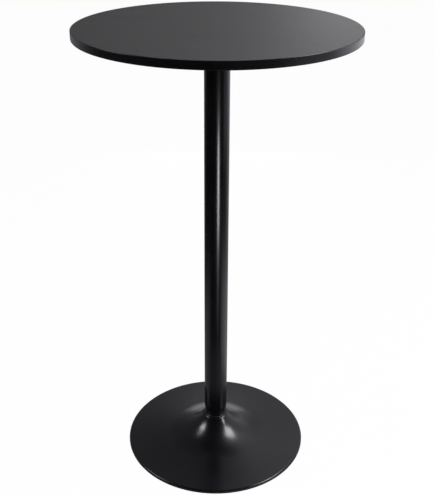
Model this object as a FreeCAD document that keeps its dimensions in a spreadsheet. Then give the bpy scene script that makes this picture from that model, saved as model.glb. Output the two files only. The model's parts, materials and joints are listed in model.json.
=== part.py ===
import FreeCAD, Part
import math
import os

import Sketcher

# A bar-height table with a round top, one steel column and a spun trumpet base.
# The origin is on the floor under the middle of the column, with +Z up.

# Driving dimensions in millimetres
DIMENSIONS = {
    # Whole table
    "table_height": 1050,
    "top_diameter": 600,
    "column_diameter": 56,
    "base_diameter": 448,
    # Board of the top, with its laminates and edge band
    "core_thickness": 16,
    "laminate_thickness": 0.5,
    "edge_band_thickness": 2,
    "edge_band_round": 1,
    # Mounting plate under the top
    "plate_width": 200,
    "plate_thickness": 3,
    "plate_corner_radius": 30,
    "plate_edge_margin": 22,
    "plate_weld_leg": 5,
    # Screws, washers and threaded inserts that hold the top
    "screw_diameter": 6,
    "screw_head_diameter": 11,
    "screw_head_height": 3.3,
    "screw_head_edge": 0.8,
    "screw_dome_radius": 7,
    "screw_tip_chamfer": 0.8,
    "screw_socket_width": 4,
    "screw_socket_depth": 2,
    "screw_end_gap": 1,
    "washer_diameter": 16,
    "washer_thickness": 1.5,
    "insert_diameter": 10,
    "insert_cover": 4.5,
    # Column with its drawn-in lower end
    "tube_wall": 1.5,
    "swage_depth": 4,
    "swage_shoulder_radius": 60,
    "swage_root_radius": 15,
    "spigot_reveal": 2,
    # Foot plug and nut inside the column, bolt and washers under the base
    "foot_plug_thickness": 6,
    "nut_width": 17,
    "nut_height": 8,
    "bolt_diameter": 10,
    "bolt_head_width": 17,
    "bolt_head_height": 6.4,
    "bolt_tip_chamfer": 1,
    "bolt_end_reach": 3.3,
    "bolt_washer_diameter": 30,
    "bolt_washer_thickness": 2.5,
    "lock_washer_diameter": 18,
    "lock_washer_thickness": 2.2,
    "lock_washer_slit": 1.5,
    # Bush between the column and the neck of the base
    "bush_wall": 2.4,
    "bush_sleeve_length": 20,
    "bush_bead_height": 2.2,
    "bush_bead_round": 1.6,
    # Spun shell of the base
    "shell_wall": 1.5,
    "neck_lip_land": 0.9,
    "neck_lip_round": 5,
    "flare_radius": 120,
    "rim_round": 3.5,
    "rim_height": 6.5,
    # Bridge welded under the shell
    "bridge_thickness": 3,
    "bridge_middle_diameter": 100,
    "bridge_rise": 9,
    "bridge_weld_leg": 3,
    # Edging that the base stands on
    "ring_floor": 2,
    "ring_skirt": 1.2,
    "ring_height": 3.5,
    "ring_round": 0.6,
    # Clearances
    "fit_clearance": 0.1,
    "thread_clearance": 0.1,
    "hole_clearance": 0.5,
}

# Slope of the shell under the lip, where the flare ends and where the rim starts, as rise over run
NECK_SLOPE_SHARE = 1.576
FLARE_SLOPE_SHARE = 0.105
RIM_SLOPE_SHARE = 0.044

# Where the flange of the bridge starts and ends along the dish
FLANGE_START_SHARE = 0.05
FLANGE_END_SHARE = 0.25

# How much of its part of the circle each bead under the bridge takes
BRIDGE_WELD_SHARE = 0.3

SCREW_COUNT = 4
BRIDGE_WELD_COUNT = 6
FULL_TURN = 360

doc = FreeCAD.newDocument("pub_table")
sheet = doc.addObject("Spreadsheet::Sheet", "dims")
for row, (alias, length) in enumerate(DIMENSIONS.items(), start=1):
    sheet.set(f"A{row}", str(length))
    sheet.setAlias(f"A{row}", alias)
doc.recompute()

# Sizes that several pieces share, worked out from the sheet
worked_sizes = doc.addObject("App::VarSet", "worked")


class Size:
    """A number with the expression that gives it, so that one sum places a point and binds it."""

    def __init__(self, value, text):
        self.value = value
        self.text = text

    def __add__(self, other):
        return Size(self.value + value_of(other), f"({self.text} + {text_of(other)})")

    def __sub__(self, other):
        return Size(self.value - value_of(other), f"({self.text} - {text_of(other)})")

    def __rsub__(self, other):
        return Size(value_of(other) - self.value, f"({text_of(other)} - {self.text})")

    def __mul__(self, other):
        return Size(self.value * value_of(other), f"({self.text} * {text_of(other)})")

    def __truediv__(self, other):
        return Size(self.value / value_of(other), f"({self.text} / {text_of(other)})")

    def __neg__(self):
        return Size(-self.value, f"(0 - {self.text})")

    __radd__ = __add__
    __rmul__ = __mul__


def value_of(number):
    """The plain number behind a size or a number."""
    return number.value if isinstance(number, Size) else number


def text_of(number):
    """The expression behind a size or a number."""
    return number.text if isinstance(number, Size) else repr(number)


def root(size):
    """The square root of a size."""
    return Size(math.sqrt(size.value), f"sqrt({size.text})")


def dim(alias):
    """A driving dimension from the sheet."""
    return Size(float(sheet.get(alias)), f"dims.{alias}")


def worked(name, size):
    """Keep a worked-out size in the document under a name of its own."""
    worked_sizes.addProperty("App::PropertyFloat", name)
    worked_sizes.setExpression(name, size.text)
    return Size(size.value, f"worked.{name}")


class Arc:
    """A round stretch of an outline; left says that its centre is on the left of the way round."""

    def __init__(self, radius, left):
        self.radius = radius
        self.left = left

    def edge(self, start, end):
        """The arc between two points, and the sketch positions of its two ends."""
        radius = self.radius.value
        chord = end - start
        middle = (start + end) * 0.5
        away = math.sqrt(radius ** 2 - (chord.Length / 2) ** 2)
        side = FreeCAD.Vector(-chord.y, chord.x, 0).normalize()
        centre = middle + side * (away if self.left else -away)
        circle = Part.Circle(centre, FreeCAD.Vector(0, 0, 1), radius)
        first, last = (start, end) if self.left else (end, start)
        arc = Part.ArcOfCircle(circle, circle.parameter(first), circle.parameter(last))
        return arc, ((1, 2) if self.left else (2, 1))


def origin_feature(body, role):
    """One of a body's own origin planes or axes."""
    return next(feature for feature in body.Origin.OriginFeatures if feature.Role == role)


def bind(thing, property_name, size):
    """Bind a property to a size."""
    thing.setExpression(property_name, text_of(size))


def new_body(label, height=None):
    """A body with its name and, where it isn't built in place, the height it is placed at."""
    body = doc.addObject("PartDesign::Body", label)
    body.Label = label
    if height is not None:
        bind(body, "Placement.Base.z", height)
    return body


def new_sketch(body, name, plane, offset=(0, 0, 0)):
    """A sketch on one of the body's origin planes, moved by an offset along its own axes."""
    sketch = body.newObject("Sketcher::SketchObject", f"{body.Label}_{name}")
    sketch.AttachmentSupport = [(origin_feature(body, plane), "")]
    sketch.MapMode = "FlatFace"
    for axis, size in zip("xyz", offset):
        if size != 0:
            bind(sketch, f"AttachmentOffset.Base.{axis}", size)
    return sketch


def hold_point(sketch, name, geometry, position, corner):
    """Tie a point of a sketch to its two sizes, or to an axis where a size is zero."""
    axes = (("x", "DistanceX", -2), ("y", "DistanceY", -1))
    for size, (axis, kind, axis_line) in zip(corner, axes):
        if value_of(size) == 0:
            sketch.addConstraint(Sketcher.Constraint("PointOnObject", geometry, position, axis_line))
            continue
        ends = (-1, 1, geometry, position)
        if size.value < 0:
            ends = (geometry, position, -1, 1)
            size = -size
        index = sketch.addConstraint(Sketcher.Constraint(kind, *ends, size.value))
        sketch.renameConstraint(index, f"{name}_{axis}")
        bind(sketch, f"Constraints.{name}_{axis}", size)


def draw_outline(sketch, outline):
    """Draw a closed outline of corners, with an Arc between two corners where the edge is round."""
    corners = [item for item in outline if not isinstance(item, Arc)]
    points = [FreeCAD.Vector(value_of(x), value_of(y), 0) for x, y in corners]
    arcs = {}
    for place, item in enumerate(outline):
        if isinstance(item, Arc):
            arcs[place - len(arcs) - 1] = item
    ends = []
    for number, start in enumerate(points):
        end = points[(number + 1) % len(points)]
        if number in arcs:
            edge, positions = arcs[number].edge(start, end)
        else:
            edge, positions = Part.LineSegment(start, end), (1, 2)
        ends.append((sketch.addGeometry(edge, False), *positions))
    for number, corner in enumerate(corners):
        geometry, first, last = ends[number]
        previous, _, previous_last = ends[number - 1]
        sketch.addConstraint(Sketcher.Constraint("Coincident", previous, previous_last, geometry, first))
        hold_point(sketch, f"corner_{number}", geometry, first, corner)
        if number in arcs:
            radius = arcs[number].radius
            index = sketch.addConstraint(Sketcher.Constraint("Radius", geometry, radius.value))
            sketch.renameConstraint(index, f"radius_{number}")
            bind(sketch, f"Constraints.radius_{number}", radius)


def draw_circle(sketch, name, radius, centre=(0, 0)):
    """Draw a circle, with its radius and its centre bound."""
    middle = FreeCAD.Vector(value_of(centre[0]), value_of(centre[1]), 0)
    circle = Part.Circle(middle, FreeCAD.Vector(0, 0, 1), radius.value)
    geometry = sketch.addGeometry(circle, False)
    hold_point(sketch, f"{name}_centre", geometry, 3, centre)
    index = sketch.addConstraint(Sketcher.Constraint("Radius", geometry, radius.value))
    sketch.renameConstraint(index, f"{name}_radius")
    bind(sketch, f"Constraints.{name}_radius", radius)


def hexagon(width):
    """The corners of a hexagon of this width across its flats."""
    half = width / 2
    corner = width / math.sqrt(3)
    return [
        (corner, 0),
        (corner / 2, half),
        (-corner / 2, half),
        (-corner, 0),
        (-corner / 2, -half),
        (corner / 2, -half),
    ]


def square(width):
    """The corners of a square of this width."""
    half = width / 2
    return [(half, half), (-half, half), (-half, -half), (half, -half)]


def ring_section(inner, outer, height):
    """The rectangle that turns into a flat ring."""
    return [(inner, 0), (outer, 0), (outer, height), (inner, height)]


def turn(body, outline, offset=(0, 0, 0), turn_share=1):
    """Revolve an outline of radii and heights round the upright axis of its sketch."""
    sketch = new_sketch(body, "section", "XZ_Plane", offset)
    draw_outline(sketch, outline)
    revolution = body.newObject("PartDesign::Revolution", f"{body.Label}_turned")
    revolution.Profile = sketch
    revolution.ReferenceAxis = (sketch, ["V_Axis"])
    revolution.Angle = FULL_TURN * turn_share
    doc.recompute()
    return revolution


def pad(body, sketch, name, length, downwards=False):
    """Raise a sketch into a solid, upwards unless it is told otherwise."""
    solid = body.newObject("PartDesign::Pad", f"{body.Label}_{name}")
    solid.Profile = sketch
    solid.Reversed = downwards
    bind(solid, "Length", length)
    doc.recompute()
    return solid


def pocket(body, sketch, name, depth):
    """Cut a sketch upwards into the solid, and see that something was cut."""
    before = body.Shape.Volume
    cut = body.newObject("PartDesign::Pocket", f"{body.Label}_{name}")
    cut.Profile = sketch
    cut.Reversed = True
    bind(cut, "Length", depth)
    doc.recompute()
    if not cut.Shape.Volume < before:
        raise RuntimeError(f"{body.Label}: {name} cuts nothing")
    return cut


def repeat(body, features, count):
    """Repeat features evenly round the upright axis of the body."""
    pattern = body.newObject("PartDesign::PolarPattern", f"{body.Label}_repeated")
    pattern.Originals = features
    pattern.Axis = (origin_feature(body, "Z_Axis"), [""])
    pattern.Angle = FULL_TURN
    pattern.Occurrences = count
    body.Tip = pattern
    doc.recompute()


def chamfer(body, base, name, edge_test, size):
    """Chamfer the edges of a feature that pass a test."""
    edges = [f"Edge{n}" for n, edge in enumerate(base.Shape.Edges, start=1) if edge_test(edge)]
    bevel = body.newObject("PartDesign::Chamfer", f"{body.Label}_{name}")
    bevel.Base = (base, edges)
    bind(bevel, "Size", size)
    doc.recompute()
    return bevel


def fillet(body, base, name, edge_test, radius):
    """Round the edges of a feature that pass a test."""
    edges = [f"Edge{n}" for n, edge in enumerate(base.Shape.Edges, start=1) if edge_test(edge)]
    rounding = body.newObject("PartDesign::Fillet", f"{body.Label}_{name}")
    rounding.Base = (base, edges)
    bind(rounding, "Radius", radius)
    doc.recompute()
    return rounding


def is_upright(edge):
    """Whether an edge is a straight line along Z."""
    is_line = isinstance(edge.Curve, (Part.Line, Part.LineSegment))
    return is_line and abs(edge.Curve.Direction.z) > 0.99


# Heights of the top, from the face of the table down
top_radius = worked("top_radius", dim("top_diameter") / 2)
board_radius = worked("board_radius", top_radius - dim("edge_band_thickness") - dim("fit_clearance"))
top_thickness = worked("top_thickness", dim("core_thickness") + 2 * dim("laminate_thickness"))
top_underside = worked("top_underside", dim("table_height") - top_thickness)
plate_underside = worked("plate_underside", top_underside - dim("plate_thickness"))
washer_underside = worked("washer_underside", plate_underside - dim("washer_thickness"))

# Fasteners of the top: half the distance between two screws, and how far they reach
screw_offset = worked("screw_offset", dim("plate_width") / 2 - dim("plate_edge_margin"))
screw_place = (screw_offset, 0, -screw_offset)
screw_radius = worked("screw_radius", dim("screw_diameter") / 2)
screw_hole_radius = worked("screw_hole_radius", screw_radius + dim("hole_clearance"))
insert_length = worked("insert_length", top_thickness - dim("insert_cover"))
insert_hole_radius = worked("insert_hole_radius", dim("insert_diameter") / 2 + dim("fit_clearance"))
screw_reach = worked(
    "screw_reach",
    dim("washer_thickness") + dim("plate_thickness") + insert_length - dim("screw_end_gap"),
)

# Column, its spigot and the neck round it
column_radius = worked("column_radius", dim("column_diameter") / 2)
spigot_radius = worked("spigot_radius", column_radius - dim("swage_depth"))
bush_inner_radius = worked("bush_inner_radius", spigot_radius + dim("fit_clearance"))
bush_outer_radius = worked("bush_outer_radius", bush_inner_radius + dim("bush_wall"))
neck_bore_radius = worked("neck_bore_radius", bush_outer_radius + dim("fit_clearance"))
lip_centre_radius = worked("lip_centre_radius", neck_bore_radius + dim("neck_lip_land"))

# Base: the slopes as sines and cosines
neck_cos = 1 / math.hypot(1, NECK_SLOPE_SHARE)
neck_sin = NECK_SLOPE_SHARE * neck_cos
flare_cos = 1 / math.hypot(1, FLARE_SLOPE_SHARE)
flare_sin = FLARE_SLOPE_SHARE * flare_cos
rim_cos = 1 / math.hypot(1, RIM_SLOPE_SHARE)
rim_sin = RIM_SLOPE_SHARE * rim_cos

# Base: from the rim inwards along the dish and up the flare to the lip of the neck
base_radius = worked("base_radius", dim("base_diameter") / 2)
shell_radius = worked("shell_radius", base_radius - dim("ring_skirt") - dim("fit_clearance"))
rim_centre_radius = worked("rim_centre_radius", shell_radius - dim("rim_round"))
rim_centre_height = worked("rim_centre_height", dim("rim_height") - dim("rim_round"))
dish_end_radius = rim_centre_radius + dim("rim_round") * rim_sin
dish_end_height = rim_centre_height + dim("rim_round") * rim_cos
lip_and_flare = dim("neck_lip_round") + dim("flare_radius")
flare_centre_radius = worked("flare_centre_radius", lip_centre_radius + lip_and_flare * neck_sin)
flare_end_radius = flare_centre_radius - dim("flare_radius") * flare_sin
dish_radius = worked("dish_radius", (dish_end_radius - flare_end_radius) / (flare_sin - rim_sin))
dish_centre_radius = worked("dish_centre_radius", dish_end_radius + dish_radius * rim_sin)
dish_centre_height = worked("dish_centre_height", dish_end_height + dish_radius * rim_cos)
flare_end_height = worked("flare_end_height", dish_centre_height - dish_radius * flare_cos)
flare_centre_height = worked("flare_centre_height", flare_end_height + dim("flare_radius") * flare_cos)
lip_centre_height = worked("lip_centre_height", flare_centre_height - lip_and_flare * neck_cos)
neck_height = worked("neck_height", lip_centre_height + dim("neck_lip_round"))


def on_dish(radius, share):
    """A point below the dish, at a distance from its centre and a share of the way to the rim."""
    sine = flare_sin - share * (flare_sin - rim_sin)
    cosine = math.sqrt(1 - sine ** 2)
    return dish_centre_radius - radius * sine, dish_centre_height - radius * cosine


def on_lip(radius):
    """The end of an arc round the centre of the lip, where the flare takes over."""
    return lip_centre_radius + radius * neck_sin, lip_centre_height + radius * neck_cos


# Bridge: the flange lies under the dish, and its raised middle carries the column and the bolt
dish_under_radius = worked("dish_under_radius", dish_radius + dim("shell_wall"))
flange_radius = worked("flange_radius", dish_under_radius + dim("fit_clearance"))
flange_under_radius = worked("flange_under_radius", flange_radius + dim("bridge_thickness"))
flange_start_height = on_dish(flange_radius, FLANGE_START_SHARE)[1]
bridge_seat = worked("bridge_seat", flange_start_height + dim("bridge_rise"))
bridge_underside = worked("bridge_underside", bridge_seat - dim("bridge_thickness"))
bolt_radius = worked("bolt_radius", dim("bolt_diameter") / 2)
bolt_hole_radius = worked("bolt_hole_radius", bolt_radius + dim("hole_clearance"))
bolt_washer_under = worked("bolt_washer_under", bridge_underside - dim("bolt_washer_thickness"))
lock_washer_under = worked("lock_washer_under", bolt_washer_under - dim("lock_washer_thickness"))
foot_plug_face = worked("foot_plug_face", bridge_seat + dim("foot_plug_thickness"))
nut_face = worked("nut_face", foot_plug_face + dim("nut_height"))
bolt_reach = worked("bolt_reach", nut_face + dim("bolt_end_reach") - lock_washer_under)

# Swage: two arcs that meet where the wall slopes most
swage_bottom = worked("swage_bottom", neck_height + dim("bush_bead_height") + dim("spigot_reveal"))
swage_span = dim("swage_shoulder_radius") + dim("swage_root_radius")
swage_cos = worked("swage_cos", 1 - dim("swage_depth") / swage_span)
swage_sin = worked("swage_sin", root(1 - swage_cos * swage_cos))
swage_top = worked("swage_top", swage_bottom + swage_span * swage_sin)


def top_laminate():
    """The face of the top, a plain disc on the core."""
    disc = doc.addObject("Part::Cylinder", "top_laminate")
    disc.Label = "top_laminate"
    bind(disc, "Radius", board_radius)
    bind(disc, "Height", dim("laminate_thickness"))
    bind(disc, "Placement.Base.z", dim("table_height") - dim("laminate_thickness"))
    return disc


def board_disc(label, height, thickness, hole_depth):
    """A disc of the top with the four holes of the inserts in its underside."""
    body = new_body(label, height)
    face = new_sketch(body, "face", "XY_Plane")
    draw_circle(face, "disc", board_radius)
    pad(body, face, "disc", thickness)
    hole = new_sketch(body, "hole", "XY_Plane")
    draw_circle(hole, "hole", insert_hole_radius, (screw_offset, screw_offset))
    drilled = pocket(body, hole, "hole", hole_depth)
    repeat(body, [drilled], SCREW_COUNT)
    return body


def top_core():
    """The board, with a blind hole for each insert."""
    height = top_underside + dim("laminate_thickness")
    return board_disc("top_core", height, dim("core_thickness"), insert_length - dim("laminate_thickness"))


def backing_laminate():
    """The laminate under the board, which the inserts pass through."""
    thickness = dim("laminate_thickness")
    return board_disc("backing_laminate", top_underside, thickness, thickness)


def edge_band():
    """The strip round the board, with both outer corners rounded."""
    body = new_body("edge_band", top_underside)
    inner = top_radius - dim("edge_band_thickness")
    corner = dim("edge_band_round")
    turn(body, [
        (inner, 0),
        (top_radius - corner, 0),
        Arc(corner, left=True),
        (top_radius, corner),
        (top_radius, top_thickness - corner),
        Arc(corner, left=True),
        (top_radius - corner, top_thickness),
        (inner, top_thickness),
    ])
    return body


def threaded_inserts():
    """Four plain inserts in the board, flush with its underside."""
    body = new_body("threaded_inserts", top_underside)
    section = ring_section(screw_radius + dim("thread_clearance"), dim("insert_diameter") / 2, insert_length)
    repeat(body, [turn(body, section, screw_place)], SCREW_COUNT)
    return body


def mounting_plate():
    """The square plate on the column, with rounded corners and four screw holes."""
    body = new_body("mounting_plate", plate_underside)
    face = new_sketch(body, "face", "XY_Plane")
    draw_outline(face, square(dim("plate_width")))
    blank = pad(body, face, "blank", dim("plate_thickness"))
    fillet(body, blank, "corners", is_upright, dim("plate_corner_radius"))
    hole = new_sketch(body, "hole", "XY_Plane")
    draw_circle(hole, "hole", screw_hole_radius, (screw_offset, screw_offset))
    drilled = pocket(body, hole, "hole", dim("plate_thickness"))
    repeat(body, [drilled], SCREW_COUNT)
    return body


def plate_weld():
    """The bead in the corner between the column and the plate."""
    body = new_body("plate_weld", plate_underside)
    leg = dim("plate_weld_leg")
    inner = column_radius + dim("fit_clearance")
    turn(body, [(inner, -leg), (inner + leg, 0), (inner, 0)])
    return body


def plate_washers():
    """Four washers under the plate."""
    body = new_body("plate_washers", washer_underside)
    section = ring_section(screw_hole_radius, dim("washer_diameter") / 2, dim("washer_thickness"))
    repeat(body, [turn(body, section, screw_place)], SCREW_COUNT)
    return body


def plate_screws():
    """Four screws with domed heads and hexagon sockets, driven up into the inserts."""
    body = new_body("plate_screws", washer_underside)
    head_radius = dim("screw_head_diameter") / 2
    head_height = dim("screw_head_height")
    tip = dim("screw_tip_chamfer")
    shape = turn(body, [
        (0, -head_height),
        (screw_radius, -head_height),
        Arc(dim("screw_dome_radius"), left=True),
        (head_radius, -dim("screw_head_edge")),
        (head_radius, 0),
        (screw_radius, 0),
        (screw_radius, screw_reach - tip),
        (screw_radius - tip, screw_reach),
        (0, screw_reach),
    ], screw_place)
    socket = new_sketch(body, "socket", "XY_Plane", (screw_offset, screw_offset, -head_height))
    draw_outline(socket, hexagon(dim("screw_socket_width")))
    repeat(body, [shape, pocket(body, socket, "socket", dim("screw_socket_depth"))], SCREW_COUNT)
    return body


def column_tube():
    """The column, drawn in by a shoulder and a root arc to a spigot that enters the base."""
    body = new_body("column_tube")
    wall = dim("tube_wall")
    shoulder = dim("swage_shoulder_radius")
    root_arc = dim("swage_root_radius")
    shoulder_centre = column_radius - shoulder
    outer_bend = (shoulder_centre + shoulder * swage_cos, swage_top - shoulder * swage_sin)
    inner_bend = (
        shoulder_centre + (shoulder - wall) * swage_cos,
        swage_top - (shoulder - wall) * swage_sin,
    )
    turn(body, [
        (spigot_radius, bridge_seat),
        (spigot_radius, swage_bottom),
        Arc(root_arc, left=False),
        outer_bend,
        Arc(shoulder, left=True),
        (column_radius, swage_top),
        (column_radius, plate_underside),
        (column_radius - wall, plate_underside),
        (column_radius - wall, swage_top),
        Arc(shoulder - wall, left=False),
        inner_bend,
        Arc(root_arc + wall, left=True),
        (spigot_radius - wall, swage_bottom),
        (spigot_radius - wall, bridge_seat),
    ])
    return body


def foot_plug():
    """The disc in the lower end of the column, flush with it."""
    body = new_body("foot_plug", bridge_seat)
    outer = spigot_radius - dim("tube_wall") - dim("fit_clearance")
    turn(body, ring_section(bolt_hole_radius, outer, dim("foot_plug_thickness")))
    return body


def anchor_nut():
    """The nut on the foot plug."""
    body = new_body("anchor_nut", foot_plug_face)
    face = new_sketch(body, "face", "XY_Plane")
    draw_outline(face, hexagon(dim("nut_width")))
    draw_circle(face, "bore", bolt_radius + dim("thread_clearance"))
    pad(body, face, "hexagon", dim("nut_height"))
    return body


def neck_bush():
    """The sleeve between the column and the neck, with a rounded bead on the lip of the neck."""
    body = new_body("neck_bush", neck_height)
    sleeve_end = -dim("bush_sleeve_length")
    bead = dim("bush_bead_height")
    corner = dim("bush_bead_round")
    turn(body, [
        (bush_inner_radius, sleeve_end),
        (bush_outer_radius, sleeve_end),
        (bush_outer_radius, 0),
        (lip_centre_radius, 0),
        (lip_centre_radius, bead - corner),
        Arc(corner, left=True),
        (lip_centre_radius - corner, bead),
        (bush_inner_radius, bead),
    ])
    return body


def base_shell():
    """The spun base: lip, flare, dish and rim, each an arc that runs into the next, at one thickness."""
    body = new_body("base_shell")
    wall = dim("shell_wall")
    flare = dim("flare_radius")
    lip = dim("neck_lip_round")
    rim = dim("rim_round")
    foot = dim("ring_floor")
    rim_under = rim - wall
    turn(body, [
        (neck_bore_radius, neck_height),
        (lip_centre_radius, neck_height),
        Arc(lip, left=False),
        on_lip(lip),
        Arc(flare, left=True),
        (flare_end_radius, flare_end_height),
        Arc(dish_radius, left=True),
        (dish_end_radius, dish_end_height),
        Arc(rim, left=False),
        (shell_radius, rim_centre_height),
        (shell_radius, foot),
        (shell_radius - wall, foot),
        (shell_radius - wall, rim_centre_height),
        Arc(rim_under, left=True),
        (rim_centre_radius + rim_under * rim_sin, rim_centre_height + rim_under * rim_cos),
        Arc(dish_under_radius, left=False),
        on_dish(dish_under_radius, 0),
        Arc(flare + wall, left=False),
        on_lip(lip - wall),
        Arc(lip - wall, left=True),
        (lip_centre_radius, neck_height - wall),
        (neck_bore_radius, neck_height - wall),
    ])
    return body


def base_bridge():
    """The plate under the base: a raised middle with a bolt hole and a flange that follows the dish."""
    body = new_body("base_bridge")
    middle = dim("bridge_middle_diameter") / 2
    turn(body, [
        (bolt_hole_radius, bridge_seat),
        (middle, bridge_seat),
        on_dish(flange_radius, FLANGE_START_SHARE),
        Arc(flange_radius, left=True),
        on_dish(flange_radius, FLANGE_END_SHARE),
        on_dish(flange_under_radius, FLANGE_END_SHARE),
        Arc(flange_under_radius, left=False),
        on_dish(flange_under_radius, FLANGE_START_SHARE),
        (middle, bridge_underside),
        (bolt_hole_radius, bridge_underside),
    ])
    return body


def bridge_welds():
    """Short beads round the edge of the bridge, in the corner that it makes with the dish."""
    body = new_body("bridge_welds")
    leg = dim("bridge_weld_leg")
    corner = on_dish(dish_under_radius, FLANGE_END_SHARE)
    along_edge = on_dish(dish_under_radius + leg, FLANGE_END_SHARE)
    # The outward direction along the dish is the edge's direction turned by a quarter
    along_dish = (
        corner[0] + corner[1] - along_edge[1],
        corner[1] - corner[0] + along_edge[0],
    )
    bead = turn(body, [corner, along_edge, along_dish], turn_share=BRIDGE_WELD_SHARE / BRIDGE_WELD_COUNT)
    repeat(body, [bead], BRIDGE_WELD_COUNT)
    return body


def base_bolt():
    """The bolt that pulls the column down on the bridge from below."""
    body = new_body("base_bolt", lock_washer_under)
    head = new_sketch(body, "head", "XY_Plane")
    draw_outline(head, hexagon(dim("bolt_head_width")))
    pad(body, head, "head", dim("bolt_head_height"), downwards=True)
    shank = new_sketch(body, "shank", "XY_Plane")
    draw_circle(shank, "shank", bolt_radius)
    rod = pad(body, shank, "shank", bolt_reach)
    top_edge = bolt_reach.value - dim("bolt_tip_chamfer").value
    chamfer(body, rod, "tip", lambda edge: edge.BoundBox.ZMin > top_edge, dim("bolt_tip_chamfer"))
    return body


def bolt_washer():
    """The wide washer against the bridge."""
    body = new_body("bolt_washer", bolt_washer_under)
    outer = dim("bolt_washer_diameter") / 2
    turn(body, ring_section(bolt_hole_radius, outer, dim("bolt_washer_thickness")))
    return body


def lock_washer():
    """The split washer under the head of the bolt."""
    body = new_body("lock_washer", lock_washer_under)
    outer = dim("lock_washer_diameter") / 2
    half_slit = dim("lock_washer_slit") / 2
    turn(body, ring_section(bolt_hole_radius, outer, dim("lock_washer_thickness")))
    slit = new_sketch(body, "slit", "XY_Plane")
    draw_outline(slit, [(0, -half_slit), (outer, -half_slit), (outer, half_slit), (0, half_slit)])
    pocket(body, slit, "slit", dim("lock_washer_thickness"))
    return body


def floor_ring():
    """The edging that the rim of the shell stands in, a channel with a flat floor."""
    body = new_body("floor_ring")
    floor = dim("ring_floor")
    height = dim("ring_height")
    corner = dim("ring_round")
    outer_wall = base_radius - dim("ring_skirt")
    inner_wall = shell_radius - dim("shell_wall") - dim("fit_clearance")
    inner = inner_wall - dim("ring_skirt")
    turn(body, [
        (inner, 0),
        (base_radius, 0),
        (base_radius, height - corner),
        Arc(corner, left=True),
        (base_radius - corner, height),
        (outer_wall, height),
        (outer_wall, floor),
        (inner_wall, floor),
        (inner_wall, height),
        (inner, height),
    ])
    return body


pieces = [
    top_laminate(),
    top_core(),
    backing_laminate(),
    edge_band(),
    threaded_inserts(),
    mounting_plate(),
    plate_weld(),
    plate_washers(),
    plate_screws(),
    column_tube(),
    foot_plug(),
    anchor_nut(),
    neck_bush(),
    base_shell(),
    base_bridge(),
    bridge_welds(),
    base_bolt(),
    bolt_washer(),
    lock_washer(),
    floor_ring(),
]
doc.recompute()

# Nothing is written unless every object was made and every piece is a sound solid
failed = [thing.Label for thing in doc.Objects if {"Invalid", "Error"} & set(thing.State)]
failed += [piece.Label for piece in pieces if piece.Shape.isNull() or not piece.Shape.isValid()]
if failed:
    raise RuntimeError("failed: " + ", ".join(failed))

os.makedirs("parts", exist_ok=True)
for piece in pieces:
    piece.Shape.exportStep(os.path.join("parts", f"{piece.Label}.step"))
    box = piece.Shape.optimalBoundingBox()
    print(f"{piece.Label}: {len(piece.Shape.Solids)} solids, {box.ZMin:.1f} to {box.ZMax:.1f} mm high")
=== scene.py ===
import json
import math

import bpy
import numpy as np
from mathutils import Matrix, Vector


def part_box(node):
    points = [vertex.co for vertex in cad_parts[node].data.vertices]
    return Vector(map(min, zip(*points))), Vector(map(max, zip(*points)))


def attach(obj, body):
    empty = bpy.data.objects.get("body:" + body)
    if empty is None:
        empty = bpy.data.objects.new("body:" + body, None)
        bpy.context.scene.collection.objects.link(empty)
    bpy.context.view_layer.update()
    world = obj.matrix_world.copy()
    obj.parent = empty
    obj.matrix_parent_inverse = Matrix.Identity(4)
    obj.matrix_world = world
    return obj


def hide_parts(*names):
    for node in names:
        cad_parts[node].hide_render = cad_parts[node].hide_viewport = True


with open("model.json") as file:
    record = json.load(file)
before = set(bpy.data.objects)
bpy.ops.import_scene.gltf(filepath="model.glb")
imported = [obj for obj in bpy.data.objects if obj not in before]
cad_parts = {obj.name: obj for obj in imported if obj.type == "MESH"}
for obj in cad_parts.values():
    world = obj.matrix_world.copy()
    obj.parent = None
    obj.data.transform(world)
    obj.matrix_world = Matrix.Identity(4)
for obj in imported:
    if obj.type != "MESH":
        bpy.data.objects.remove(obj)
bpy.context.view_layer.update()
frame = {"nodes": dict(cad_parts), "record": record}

NODES = frame["nodes"]
MM = 0.001

# The camera, fitted to the outlines of the top, the column and the base.
IMAGE_HEIGHT_PX = 495
FOCAL_LENGTH_PX = 810.015
SENSOR_MM = 36.0
CAMERA_PLACE = Vector((0.0, -1.692067, 1.380855))
CAMERA_YAW = math.radians(0.0922)
CAMERA_PITCH = math.radians(26.3408)
CAMERA_ROLL = math.radians(0.3153)

# The floor. A ramp is four numbers: where a value starts and stops changing, and what it is there.
FLOOR_REACH = 300.0
FLOOR_SIDES = 96
FLOOR_OPENING_SHARE = 0.9
FLOOR_COLOUR = (0.8, 0.8, 0.8)
FLOOR_WHITE_SHARE = 0.975
# Near the foot the floor in reflections is a dim painted glow, a little brighter to the right: painted shade
# of the table.
FLOOR_FOOT_RAMP = (0.3, 0.6, 1.0, 0.0)
FLOOR_FOOT_SIDE_RAMP = (-0.1, 0.5, 0.2, 0.34)
FLOOR_LEFT_DEPTH_RAMP = (0.25, 0.5, 1.0, 0.38)
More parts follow.
